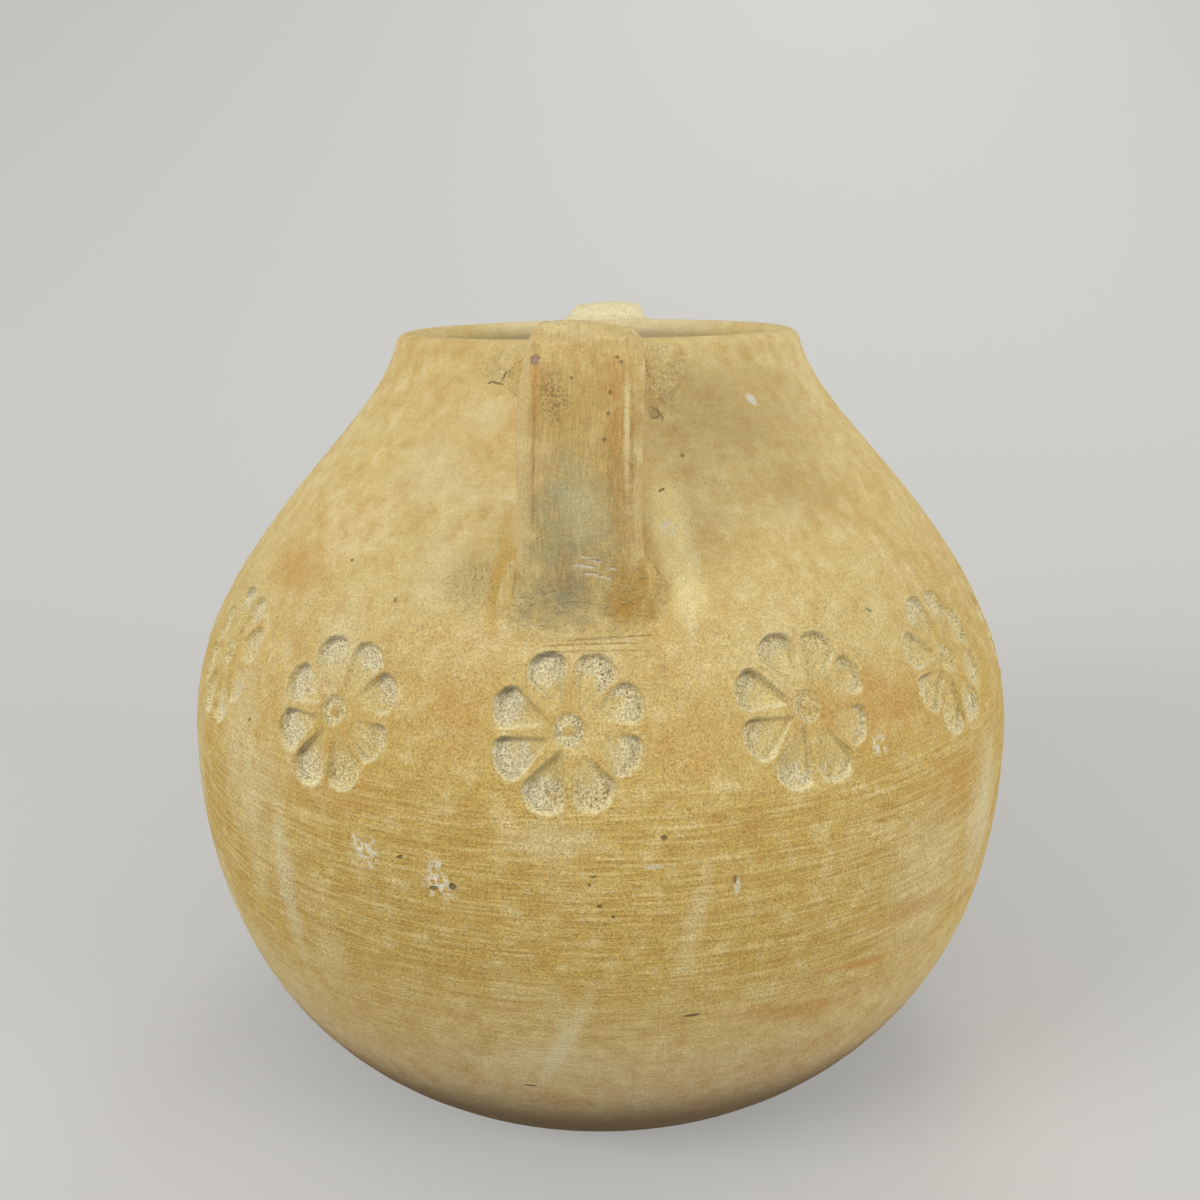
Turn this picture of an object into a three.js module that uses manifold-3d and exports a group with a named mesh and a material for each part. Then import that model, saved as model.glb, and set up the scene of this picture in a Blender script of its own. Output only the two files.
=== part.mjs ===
// Two-handled terracotta jar planter: a thrown round body, two strap handles, the soft clay pressed
// round each end of a handle, and a band of rosettes stamped into the wall.
// Millimetres, +Z up, origin at the middle of the flat base. The front handle is at -Y, the rear one at +Y.

import * as THREE from "three";
import { mergeVertices } from "three/addons/utils/BufferGeometryUtils.js";
import Module from "manifold-3d";

const wasm = await Module();
wasm.setup();

// Jar, outside
const baseRadius = 66;
const bellyRadius = 115;
const bellyHeight = 91;
const shoulderRadius = 82.5;
const shoulderHeight = 165;
const rimRadius = 55;
const rimHeight = 205;

// How the wall runs between those points: its slope from level, and how far it keeps that slope
const baseSlope = 26;
const baseRun = 54;
const bellyRunDown = 11;
const bellyRunUp = 18;
const shoulderSlope = 48.5;
const shoulderRunDown = 48;
const shoulderRunUp = 18;
const neckSlope = 75;
const neckRun = 12;

// Jar, inside
const wallThickness = 8;
const floorThickness = 9;
const lipThickness = 8;
const lipCrown = 3;
const drainRadius = 6.5;

// Strap handles
const strapWidth = 26;
const strapThickness = 9.5;
const strapDish = 1.4;
const strapSquareness = 0.6;
const handleRise = 6;
const handleCrestOut = 13.5;
const handleRootDrop = 7;
const handleFootHeight = 152;
const handleFootSink = 3;
const handleFootLean = 12;
const archRunOut = 20;
const archRunDown = 28;
const strapBury = 6;

// Soft clay pressed round the ends of a handle
const lutingSide = 9;
const lutingFace = 3.5;
const lutingRootReach = 19;
const lutingFootReach = 22;
const clearance = 0.3;

// Stamped rosettes
const rosetteCount = 13;
const rosetteRadius = 16.5;
const rosetteHeight = 129.5;
const rosetteStart = -1.2;
const petalCount = 8;
const petalInner = 4.2;
const petalWidth = 9.2;
const petalDepth = 1.5;
const petalTaper = 1.6;
const petalTurn = 22.5;
const ringRadius = 2.4;
const ringWidth = 2;
const ringDepth = 0.8;

// Fineness of the facets
const jarSegments = 60;
const lowerSteps = 8;
const shoulderSteps = 8;
const neckSteps = 4;
const innerShare = 0.5;
const lipSteps = 6;
const strapSteps = 18;
const collarSteps = 6;
const sectionPoints = 16;
const petalSteps = 4;
const petalSides = 6;
const ringSteps = 8;

const radians = THREE.MathUtils.degToRad;

// Step from a point by a distance, in a direction given as an angle from level
function stepFrom(point, distance, angle) {
  const direction = new THREE.Vector2(Math.cos(radians(angle)), Math.sin(radians(angle)));
  return point.clone().addScaledVector(direction, distance);
}

// Outside of the jar as (radius, height), from the edge of the base to the lip: three cubic curves
// that share their slope where they meet, each drawn with a share of its full number of steps
function outerWall(share) {
  const base = new THREE.Vector2(baseRadius, 0);
  const belly = new THREE.Vector2(bellyRadius, bellyHeight);
  const shoulder = new THREE.Vector2(shoulderRadius, shoulderHeight);
  const rim = new THREE.Vector2(rimRadius, rimHeight - lipCrown);
  const inwards = 180 - shoulderSlope;
  const lower = new THREE.CubicBezierCurve(
    base,
    stepFrom(base, baseRun, baseSlope),
    stepFrom(belly, -bellyRunDown, 90),
    belly,
  );
  const upper = new THREE.CubicBezierCurve(
    belly,
    stepFrom(belly, bellyRunUp, 90),
    stepFrom(shoulder, -shoulderRunDown, inwards),
    shoulder,
  );
  const neck = new THREE.CubicBezierCurve(
    shoulder,
    stepFrom(shoulder, shoulderRunUp, inwards),
    stepFrom(rim, -neckRun, 180 - neckSlope),
    rim,
  );
  return [
    ...lower.getPoints(Math.ceil(lowerSteps * share)),
    ...upper.getPoints(Math.ceil(shoulderSteps * share)).slice(1),
    ...neck.getPoints(Math.ceil(neckSteps * share)).slice(1),
  ];
}

const wall = outerWall(1);

// Points moved square to the line through them: outwards, or inwards where the distance is negative
function offset(points, distance) {
  return points.map((point, i) => {
    const before = points[Math.max(i - 1, 0)];
    const after = points[Math.min(i + 1, points.length - 1)];
    const along = after.clone().sub(before).normalize();
    return point.clone().addScaledVector(new THREE.Vector2(along.y, -along.x), distance);
  });
}

// Radius of the outside wall and its outward direction at a height
function wallAt(height) {
  const last = wall.length - 2;
  const index = Math.min(wall.findIndex((p, i) => i > last || height <= wall[i + 1].y), last);
  const from = wall[index];
  const to = wall[index + 1];
  const along = to.clone().sub(from).normalize();
  const radius = from.x + ((height - from.y) * (to.x - from.x)) / (to.y - from.y);
  return { radius, normal: new THREE.Vector2(along.y, -along.x) };
}

// Closed mesh as a solid
function solidOf(geometry) {
  const bare = geometry.clone();
  bare.deleteAttribute("normal");
  bare.deleteAttribute("uv");
  const merged = mergeVertices(bare, 1e-4);
  return new wasm.Manifold(
    new wasm.Mesh({
      numProp: 3,
      vertProperties: merged.attributes.position.array,
      triVerts: new Uint32Array(merged.index.array),
    }),
  );
}

// Solid as a mesh geometry
function geometryOf(solid) {
  const mesh = solid.getMesh();
  const geometry = new THREE.BufferGeometry();
  geometry.setAttribute("position", new THREE.BufferAttribute(mesh.vertProperties, 3));
  geometry.setIndex(new THREE.BufferAttribute(mesh.triVerts, 1));
  geometry.computeVertexNormals();
  return geometry;
}

// Solid of revolution about Z from (radius, height) points that run up the outside
function revolve(points) {
  const geometry = new THREE.LatheGeometry(points, jarSegments);
  geometry.rotateX(Math.PI / 2);
  return solidOf(geometry);
}

// Room that the jar takes up, mouth and all, grown by a gap: what the clay round it is cut to
function jarRoom(gap) {
  const bottom = new THREE.Vector2(0, -gap);
  const edge = new THREE.Vector2(baseRadius, -gap);
  const top = new THREE.Vector2(0, rimHeight + gap);
  return revolve([bottom, edge, ...offset(wall, gap), ...lipArc(gap), top]);
}

// Rounded top of the lip, from its outer edge to its inner one: half an ellipse
function lipArc(gap) {
  const middle = rimRadius - lipThickness / 2;
  const points = [];
  for (let i = 1; i < lipSteps; i++) {
    const turn = (Math.PI * i) / lipSteps;
    points.push(
      new THREE.Vector2(
        middle + (lipThickness / 2 + gap) * Math.cos(turn),
        rimHeight - lipCrown + (lipCrown + gap) * Math.sin(turn),
      ),
    );
  }
  return gap > 0 ? points.slice(0, lipSteps / 2) : points;
}

// Inside of the jar, from the lip's inner edge down to the floor: the outside moved in by the wall
function innerWall() {
  const moved = offset(outerWall(innerShare), -wallThickness);
  const lip = new THREE.Vector2(rimRadius - lipThickness, rimHeight - lipCrown);
  const above = moved.findIndex((point) => point.y > floorThickness);
  const below = moved[Math.max(above - 1, 0)];
  const share = above > 0 ? (floorThickness - below.y) / (moved[above].y - below.y) : 0;
  const corner = below.clone().lerp(moved[above], share).setY(floorThickness);
  return [lip, ...moved.slice(above, -1).reverse(), corner];
}

// Frame on the outside of the jar: the point at an azimuth and height, with axes x level along the wall,
// y up the wall and z out of it
function wallFrame(azimuth, height) {
  const { radius, normal } = wallAt(height);
  const out = new THREE.Vector3(Math.sin(azimuth), -Math.cos(azimuth), 0);
  const level = new THREE.Vector3(Math.cos(azimuth), Math.sin(azimuth), 0);
  const away = out.clone().multiplyScalar(normal.x).setZ(normal.y);
  const up = away.clone().cross(level);
  const point = out.multiplyScalar(radius).setZ(height);
  return new THREE.Matrix4().makeBasis(level, up, away).setPosition(point);
}

// Punch for one petal: a teardrop turned about its long axis and flattened, with its tip at -Y, so that
// the dent is deepest at its wide outer end
function petalPunch() {
  const length = rosetteRadius - petalInner;
  const points = [];
  for (let i = 0; i <= petalSteps; i++) {
    const along = i / petalSteps;
    const half = (petalWidth / 2) * Math.sin(Math.PI * Math.pow(along, petalTaper));
    points.push(new THREE.Vector2(i % petalSteps ? half : 0, length * (along - 0.5)));
  }
  const geometry = new THREE.LatheGeometry(points, petalSides, Math.PI / petalSides);
  geometry.scale(1, 1, (2 * petalDepth) / petalWidth);
  return geometry;
}

// Punch for the groove round the rosette's middle button
function ringPunch() {
  const geometry = new THREE.TorusGeometry(ringRadius, ringWidth / 2, 4, ringSteps);
  geometry.scale(1, 1, (2 * ringDepth) / ringWidth);
  return geometry;
}

// All punches of one rosette; each petal lies in the wall's own plane at its place
function rosettePunches(azimuth) {
  const punches = [solidOf(ringPunch().applyMatrix4(wallFrame(azimuth, rosetteHeight)))];
  const { radius, normal } = wallAt(rosetteHeight);
  const middle = (rosetteRadius + petalInner) / 2;
  for (let i = 0; i < petalCount; i++) {
    const turn = radians(petalTurn + (360 * i) / petalCount);
    const side = (middle * Math.sin(turn)) / radius;
    const height = rosetteHeight + middle * Math.cos(turn) * normal.x;
    const punch = petalPunch().rotateZ(-turn).applyMatrix4(wallFrame(azimuth + side, height));
    punches.push(solidOf(punch));
  }
  return punches;
}

// The thrown jar with its drain hole and stamped band
function jarBody() {
  const drainBottom = new THREE.Vector2(drainRadius, 0);
  const drainTop = new THREE.Vector2(drainRadius, floorThickness);
  const section = [drainBottom, ...wall, ...lipArc(0), ...innerWall(), drainTop, drainBottom];
  let body = revolve(section);
  for (let i = 0; i < rosetteCount; i++) {
    const azimuth = radians(rosetteStart + (360 * i) / rosetteCount);
    for (const punch of rosettePunches(azimuth)) body = body.subtract(punch);
  }
  return body;
}

// Middle line of a strap as (radius, height): out of the neck, over the crest and down to the shoulder
function strapPath() {
  const rootHeight = rimHeight - handleRootDrop;
  const root = new THREE.Vector2(wallAt(rootHeight).radius - strapBury, rootHeight);
  const crest = new THREE.Vector2(
    rimRadius + handleCrestOut,
    rimHeight + handleRise - strapThickness / 2,
  );
  const foot = new THREE.Vector2(
    wallAt(handleFootHeight).radius - handleFootSink,
    handleFootHeight,
  );
  const lean = 90 - handleFootLean;
  const line = new THREE.CurvePath();
  line.add(new THREE.QuadraticBezierCurve(root, stepFrom(crest, -archRunOut / 2, 0), crest));
  line.add(
    new THREE.CubicBezierCurve(
      crest,
      stepFrom(crest, archRunOut, 0),
      stepFrom(foot, archRunDown, lean),
      foot,
    ),
  );
  line.add(new THREE.LineCurve(foot, stepFrom(foot, -strapBury, lean)));
  return line;
}

const path = strapPath();
const pathLength = path.getLength();

// Section of a strap, across and outward from its middle line: a rounded oblong whose outer face is
// dished between two raised edges
function strapSection(growSide, growFace) {
  const points = [];
  const half = strapWidth / 2;
  for (let i = 0; i < sectionPoints; i++) {
    const turn = (2 * Math.PI * (i + 0.5)) / sectionPoints;
    const cos = Math.cos(turn);
    const sin = Math.sin(turn);
    const across = Math.sign(cos) * Math.pow(Math.abs(cos), strapSquareness);
    const outward = Math.sign(sin) * Math.pow(Math.abs(sin), strapSquareness);
    const dish = sin > 0 ? strapDish * Math.pow(Math.cos((Math.PI * across) / 2), 2) : 0;
    points.push(
      new THREE.Vector2(
        across * (half + growSide),
        outward * (strapThickness / 2 + growFace) - dish,
      ),
    );
  }
  return points;
}

// Closed skin over rings of points, with a flat cap at each end
function loft(rings) {
  const count = rings[0].length;
  const points = rings.flat();
  const faces = [];
  for (let i = 0; i + 1 < rings.length; i++) {
    for (let j = 0; j < count; j++) {
      const a = i * count + j;
      const b = i * count + ((j + 1) % count);
      faces.push(a, b, b + count, a, b + count, a + count);
    }
  }
  const end = (rings.length - 1) * count;
  for (let j = 1; j + 1 < count; j++) {
    faces.push(0, j + 1, j);
    faces.push(end, end + j, end + j + 1);
  }
  const geometry = new THREE.BufferGeometry().setFromPoints(points);
  geometry.setIndex(faces);
  return solidOf(geometry);
}

// Strap's section carried along a stretch of its middle line, grown by what grow(distance) gives
function sweep(from, to, steps, grow) {
  const rings = [];
  for (let i = 0; i <= steps; i++) {
    const distance = THREE.MathUtils.lerp(from, to, i / steps);
    const point = path.getPointAt(distance / pathLength);
    const along = path.getTangentAt(distance / pathLength);
    const { side, face } = grow(distance);
    rings.push(
      strapSection(side, face).map(
        (p) => new THREE.Vector3(p.x, -(point.x - along.y * p.y), point.y + along.x * p.y),
      ),
    );
  }
  return loft(rings);
}

const room = jarRoom(clearance);

// One strap handle, its ends cut to the jar
function strapHandle() {
  return sweep(0, pathLength, strapSteps, () => ({ side: 0, face: 0 })).subtract(room);
}

// Collar of soft clay round one end of a strap: widest on the jar and drawn out thin along the strap
function luting(end, reach) {
  const from = end === 0 ? 0 : end - reach;
  const edge = 2 * clearance;
  const collar = sweep(from, from + reach, collarSteps, (distance) => {
    const left = 1 - Math.abs(distance - end) / reach;
    return { side: edge + lutingSide * left * left, face: edge + lutingFace * left * left };
  });
  const strap = sweep(0, pathLength, strapSteps, () => ({ side: clearance, face: clearance }));
  return collar.subtract(strap).subtract(room);
}

// Fired clay in one of its shades
function clay(color) {
  return new THREE.MeshStandardMaterial({ color, roughness: 0.85, metalness: 0 });
}

function piece(name, solid, color) {
  const mesh = new THREE.Mesh(geometryOf(solid), clay(color));
  mesh.name = name;
  return mesh;
}

const jar = new THREE.Group();
jar.add(piece("jar_body", jarBody(), 0xbda268));

for (const side of ["front", "rear"]) {
  const ear = new THREE.Group();
  ear.rotation.z = side === "front" ? 0 : Math.PI;
  ear.add(piece(`${side}_handle`, strapHandle(), 0xb49a60));
  ear.add(piece(`${side}_handle_upper_luting`, luting(0, lutingRootReach), 0xbfa469));
  ear.add(piece(`${side}_handle_lower_luting`, luting(pathLength, lutingFootReach), 0xa88e54));
  jar.add(ear);
}

export default jar;
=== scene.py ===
# %% [markdown]
# # A two-handled clay jar with a stamped band
#
# The real thing is a planter thrown on a wheel in pale, low-fired clay. It has a round belly, a
# mouth drawn in by hand, two strap handles from the lip to the shoulder, and a band of rosettes
# pressed in with one stamp while the clay was still soft. Nothing on it moves.
#
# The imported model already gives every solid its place. This lesson puts a finer skin over each of
# them: first the shapes, worked out as whole arrays of numbers, then the dusty clay they are made
# of, and last the floor, the light and the camera.

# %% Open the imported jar
import math

import bpy
import numpy as np
from mathutils import Matrix, Vector


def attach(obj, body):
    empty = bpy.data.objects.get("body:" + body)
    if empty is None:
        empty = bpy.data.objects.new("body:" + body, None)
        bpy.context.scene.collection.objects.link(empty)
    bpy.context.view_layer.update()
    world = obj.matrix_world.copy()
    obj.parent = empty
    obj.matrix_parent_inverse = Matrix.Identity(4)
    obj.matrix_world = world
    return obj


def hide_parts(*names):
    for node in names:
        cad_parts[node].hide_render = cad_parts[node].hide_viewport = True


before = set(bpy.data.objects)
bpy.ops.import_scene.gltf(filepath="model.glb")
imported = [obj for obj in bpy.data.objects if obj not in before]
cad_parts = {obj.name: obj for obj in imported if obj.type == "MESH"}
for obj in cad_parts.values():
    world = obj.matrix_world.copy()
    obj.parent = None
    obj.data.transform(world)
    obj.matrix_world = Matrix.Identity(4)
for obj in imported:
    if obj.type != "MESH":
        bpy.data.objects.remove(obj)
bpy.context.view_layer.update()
print("nodes:", sorted(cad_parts))

# %% [markdown]
# ## The outline of the jar
#
# A thrown pot is a body of revolution, so one line says nearly everything about it. A potter would
# give the width of the foot, the belly, the shoulder and the mouth, and how the wall leans at each.
# Cubic curves take exactly that: two ends and a handle at each end for the slope. A point-by-point
# outline could follow the picture more closely, but it would wobble, and a wheel leaves a calm
# curve.
#
# All lengths in the shape cells are millimetres. Each mesh is turned into Blender's metres at the
# end.

# %% Sizes of the jar, as (distance from the middle, height)
foot = (66, 0)
belly = (115, 91)
shoulder = (82.5, 165)
mouth = (55, 202)
wall_thickness = 8
floor_height = 9
drain_radius = 6.5
lip_thickness = 8
lip_crown = 3
inside_top = 199


def curve(a, b, c, d, steps=240):
    """Cubic curve: (1-t)^3 a + 3 (1-t)^2 t b + 3 (1-t) t^2 c + t^3 d, for t from 0 to 1. Whole rows
    of points in place of the four points give a row of curves."""
    a, b, c, d = (np.array(p, float) for p in (a, b, c, d))
    t = np.linspace(0, 1, steps).reshape(-1, *(1,) * a.ndim)
    return (1 - t) ** 3 * a + 3 * (1 - t) ** 2 * t * b + 3 * (1 - t) * t * t * c + t**3 * d


def away(point, distance, degrees):
    """The point moved by (distance cos angle, distance sin angle), the angle taken from level."""
    turn = math.radians(degrees)
    return (point[0] + distance * math.cos(turn), point[1] + distance * math.sin(turn))


outside = np.vstack([
    curve(foot, away(foot, 54, 26), away(belly, -11, 90), belly),
    curve(belly, away(belly, 18, 90), away(shoulder, -48, 131.5), shoulder)[1:],
    curve(shoulder, away(shoulder, 18, 131.5), away(mouth, -12, 105), mouth)[1:],
])
print("outside:", len(outside), "points, widest", outside[:, 0].max(), "mm")

# %% [markdown]
# ## The whole section, with soft corners
#
# A real pot has an inside too, and it shows through the mouth. The inside is the outside moved in
# by the thickness of the wall. The floor, the drain hole and the underside close the line to a
# loop, so that the finished mesh is a closed skin with no loose edge.
#
# The corners of that loop are knife-sharp, which fired clay never is. A Bevel modifier could round
# them. Here each point is replaced by a weighted mean of its near neighbours instead, which is what
# a wet sponge does, and it costs no extra faces.

# %% Close the section and soften it


def outward(line):
    """Unit vectors square to a line, on the right-hand side of its direction: (dz, -dr) /
    length."""
    step = np.gradient(line, axis=0)
    return np.stack([step[:, 1], -step[:, 0]], 1) / np.hypot(step[:, 0], step[:, 1])[:, None]


def point_on(line, far, at):
    """Both numbers of a line at some distances along it, far being the distance to each of its
    points."""
    return [np.interp(at, far, line[:, k]) for k in (0, 1)]


def distances(points):
    """How far each point is along a line: 0, then the running sum of the lengths of its steps."""
    return np.concatenate([[0], np.cumsum(np.linalg.norm(np.diff(points, axis=0), axis=1))])


def soften(loop, spacing, reach):
    """A closed line at even steps, each point a mean of those within reach, weighted 1 + cos."""
    loop = np.vstack([loop, loop[:1]])
    far = distances(loop)
    at = np.linspace(0, far[-1], int(far[-1] / spacing), endpoint=False)
    even = np.stack(point_on(loop, far, at), 1)
    n = int(reach / spacing)
    weight = 1 + np.cos(np.linspace(-np.pi, np.pi, 2 * n + 1))
    padded = np.vstack([even[-n:], even, even[:n]])
    weight /= weight.sum()
    return at, np.stack([np.convolve(padded[:, k], weight, "valid") for k in (0, 1)], 1)


over = np.linspace(0, np.pi, 40)
lip = np.stack([
    mouth[0] - lip_thickness / 2 + lip_thickness / 2 * np.cos(over),
    mouth[1] + lip_crown * np.sin(over),
], 1)
moved = outside - wall_thickness * outward(outside)
inside = moved[(moved[:, 1] > floor_height) & (moved[:, 1] < inside_top)][::-1]
drain = [(drain_radius, floor_height), (drain_radius, 0)]
along, section = soften(np.vstack([outside, lip[1:], inside, drain]), spacing=0.2, reach=1.4)
section_out = outward(np.vstack([section[-1:], section, section[:1]]))[1:-1]
top = int(section[:, 1].argmax())
bottom = int(np.argmax(section[:top, 1] > 0.02))
print("section:", round(along[-1]), "mm round, lip at", section[top].round(2).tolist())

# %% [markdown]
# ## Slips of the hand
#
# No hand-made jar is perfectly round. This one leans by a fraction of a millimetre, and its mouth
# is tilted a little. If each piece got a wobble of its own, the handles would come away from the
# wall, so one shift is worked out from where a point is in space, and every piece goes through it.

# %% Where a point of the jar really ends up


def rise(x, low, high):
    """0 below low, 1 above high, and 3t^2 - 2t^3 between them."""
    t = np.clip((x - low) / (high - low), 0, 1)
    return t * t * (3 - 2 * t)


def by_hand(points):
    """Points shifted by three slow sine waves through space and by the tilt of the mouth."""
    points = np.asarray(points, float)
    x, y, z = points[..., 0], points[..., 1], points[..., 2]
    raised = rise(z, 4, 40)
    shift = np.stack([
        0.22 * np.sin(z / 21 + y / 60 + 0.4) + 0.12 * np.sin(z / 9.5 + x / 40),
        0.22 * np.sin(z / 24 - x / 55 + 2.0) + 0.12 * np.sin(z / 11 - y / 37),
        0.0065 * x * rise(z, 150, 205) + 0.10 * np.sin(x / 17 + 1) * rise(z, 180, 205),
    ], -1)
    return points + shift * raised[..., None]


print("mouth goes", by_hand([[55.0, 0, 205]])[0].round(2).tolist())

# %% [markdown]
# ## The stamp
#
# The rosette has eight petals round a small ring. A petal is a wedge with a blunt, rounded outer
# end. It is deepest out there and climbs to the level of the wall near the middle, so the inner
# halves hardly show. The distance to the edge of such a wedge has a short formula, so the print can
# be worked out as a depth for any point of the wall. Cutting with a solid stamp would work as well,
# but it leaves long thin triangles that shade badly.
#
# The potter held the stamp a little differently each time. Every print has its own height, turn and
# lean, and where the lean lifts the stamp, the inner parts of the petals miss the clay.

# %% The stamp's own shape: petals clockwise from the one right of the top
petal_step = 45
petal_tip = 4.0
petal_fall = 9.5
petal_end, petal_end_back = 5.4, 5.2
petal_reach = np.array([16.9, 16.6, 16.2, 17.4, 17.8, 17.1, 16.7, 17.0])
petal_slip = np.array([2.0, -1.2, 2.0, -0.5, -1.8, -3.6, -2.6, 2.2])
petal_spread = math.radians(27.5)
petal_depth = 1.65
tip_depth = np.array([0.35, 0.0, -0.5, -0.35, 0.7, 0.8, 0.8, 0.1])
ring_inner = 1.0
ring_outer = 3.5
ring_depth = 1.0
stamp_reach = 16.5


def soft_min(a, b, blend):
    """The smaller of two values with a rounded change: -blend log(e^(-a/blend) + e^(-b/blend))."""
    return -blend * np.logaddexp(-a / blend, -b / blend)


def petal_inset(a, b, reach):
    """How far inside a petal's edge a point lies, a mm out from the stamp's middle and b mm aside:
    the distance to a side that leaves the tip at the petal's spread, or to the round outer end."""
    side = (a - petal_tip) * math.sin(petal_spread) - np.abs(b) * math.cos(petal_spread)
    end = petal_end - np.hypot(np.maximum(a - (reach - petal_end_back), 0), b)
    return soft_min(side, end, 0.6)


def print_depth(x, y, turn, lean, harder):
    """Depth in mm, and how dusty it is, x and y mm from the print's middle. In a petal it is the
    smaller of a steep wall (4 x inset) and a floor that falls from the depth of the tip to that of
    the outer end; round each petal the clay is pushed up a little. Dust lies thickest far out and
    deep down."""
    out = np.hypot(x, y)
    angle = np.degrees(np.arctan2(x, y)) - turn - petal_step / 2
    petal = np.round(angle / petal_step)
    number = petal.astype(int) % 8
    off = np.radians(angle - petal_step * petal - petal_slip[number])
    inset = petal_inset(out * np.cos(off), out * np.sin(off), petal_reach[number])
    tilt = (lean[0] * x + lean[1] * y) / stamp_reach
    slip = 0.25 * np.clip(np.sin(1.9 * number + 40) - np.sin(1.9 * number + 40 * harder), -1, 1)
    at_tip = tip_depth[number] + slip
    fall = np.clip((out - petal_tip) / petal_fall, 0, 1.1) ** 0.9
    floor = (at_tip + (petal_depth - at_tip) * fall) * harder + tilt
    floor = floor + 0.08 * np.sin(1.7 * x + 3 * harder) * np.cos(1.3 * y)
    pressed = np.maximum(soft_min(4 * inset, floor, 0.08), 0) * (inset > 0)
    groove = soft_min(3 * (ring_outer - out), 3 * (out - ring_inner), 0.08)
    ring = np.maximum(soft_min(groove, ring_depth + 0.4 * tilt, 0.1), 0)
    button = 0.1 * (out < ring_inner) + 0.2 * np.exp(-((out / 0.4) ** 2))
    edge = 0.1 * (1.3 + np.sin(0.9 * x + 1) + np.cos(1.1 * y)) * np.clip(floor / petal_depth, 0, 1)
    edge = edge * np.exp(-(((inset + 0.4) / 0.35) ** 2)) * (inset < 0.2)
    dusty = 0.7 * (out - petal_tip) / petal_fall + 0.35 * pressed / petal_depth
    dusty = np.where(pressed > 0.2, dusty, 0) + 1.2 * (ring > 0.3)
    return pressed + np.maximum(ring, button) - edge, dusty


probe = print_depth(np.array([0, 5.2, 1.6]), np.array([0, 12.4, 1.6]), 0, (0, 0), 1)[0]
print("depth at the button, in a petal and in the ring:", probe.round(2).tolist())

# %% [markdown]
# ## The band of thirteen prints
#
# Five prints can be measured in the photograph: how far round the jar they are, how high, and how
# far they are turned. They stand about 27 or 28 degrees apart, which makes thirteen round the whole
# jar, so the eight at the back are spread evenly over what is left, with slips of the same size.

# %% The prints, as (degrees round, height, turn, lean right, lean up, how hard, how dusty)
prints = np.array([
    (-1.1, 129.7, -1.0, -0.34, -0.08, 1.00, 1.00),
    (27.0, 130.8, 2.9, -0.42, 0.02, 0.96, 0.70),
    (53.4, 131.4, 1.5, -0.40, -0.05, 0.85, 0.95),
    (81.3, 130.2, -2.0, -0.10, 0.15, 1.00, 0.80),
    (109.6, 129.1, 3.0, 0.20, 0.05, 0.94, 0.90),
    (136.7, 130.4, -1.5, -0.15, -0.15, 1.02, 0.85),
    (165.0, 131.0, 2.0, 0.10, 0.20, 0.98, 1.00),
    (192.1, 129.5, 4.0, -0.25, 0.00, 1.04, 0.90),
    (220.5, 128.6, -3.0, 0.15, -0.10, 0.97, 0.80),
    (248.0, 130.0, 0.5, -0.20, 0.12, 1.00, 0.95),
    (275.4, 129.3, -2.5, 0.05, 0.18, 1.03, 0.85),
    (303.2, 130.1, 1.0, 0.15, 0.10, 0.75, 0.95),
    (329.6, 128.1, -2.7, -0.10, -0.25, 0.98, 0.90),
])
print_room = 20


def height_to_along(height):
    """How far round the section the outside has a height, in mm."""
    return np.interp(height, section[bottom:top + 1, 1], along[bottom:top + 1])


def print_shape(azimuth, at):
    """Depth and dust of all prints together at degrees round the jar and mm along the section."""
    radius = np.interp(at, along, section[:, 0])
    both = np.zeros((2, *np.broadcast(azimuth, at).shape))
    for place, height, turn, right, up, harder, dust in prints:
        x = radius * np.radians((azimuth - place + 180) % 360 - 180)
        y = at - height_to_along(height)
        near = (np.abs(x) < print_room) & (np.abs(y) < print_room)
        deep, dusty = print_depth(x, y, turn, (right, up), harder)
        both += np.where(near, (deep, dusty * dust), 0)
    return both


steps = np.diff(np.sort(prints[:, 0] % 360))
print("prints:", len(prints), "with steps of", steps.round(1).tolist(), "degrees")

# %% [markdown]
# ## The skin of the jar
#
# Any point of the surface is now a function of two numbers: degrees round, and millimetres along
# the section. Sampling it on a grid gives the mesh. The prints need a step of about half a
# millimetre, and the plain wall is happy with three or four, so one even grid would be far too
# heavy or far too coarse. The band therefore gets three times as many columns as the rest, and they
# crowd together inside the prints. Where the two grids meet, one coarse step is joined to three
# fine ones with four triangles.

# %% The surface as a function, and a maker of meshes


def skin(azimuth, at, depth=0.0):
    """Points of the wall: (r, z) of the section less depth along its outward vector, then turned: x
    = r sin(azimuth), y = -r cos(azimuth)."""
    (r, z), (out_r, out_z) = point_on(section, along, at), point_on(section_out, along, at)
    r, z = r - depth * out_r, z - depth * out_z
    turn = np.radians(azimuth)
    return np.stack(np.broadcast_arrays(r * np.sin(turn), -r * np.cos(turn), z), -1)


def add(name, data):
    """An object with its data, put into the scene."""
    made = bpy.data.objects.new(name, data)
    bpy.context.scene.collection.objects.link(made)
    return made


def smooth_mesh(name, points, faces):
    """A smooth mesh from an array of points in metres and a list of faces."""
    mesh = bpy.data.meshes.new(name)
    mesh.from_pydata(points, [], faces)
    mesh.polygons.foreach_set("use_smooth", np.ones(len(mesh.polygons), bool))
    return mesh


def make_piece(name, points, faces, **values):
    """A smooth mesh object from arrays of points in mm and faces, with its values kept per
    point."""
    mesh = smooth_mesh(name, by_hand(points) * 0.001, faces)
    for key, value in values.items():
        value = np.asarray(value, np.float32)
        kind = "FLOAT_VECTOR" if value.ndim == 2 else "FLOAT"
        attribute = mesh.attributes.new(key, kind, "POINT")
        attribute.data.foreach_set("vector" if value.ndim == 2 else "value", value.ravel())
    mesh.update()
    print(name, len(points), "points,", sum(len(f) - 2 for f in faces), "triangles")
    return add(name, mesh)


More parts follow.
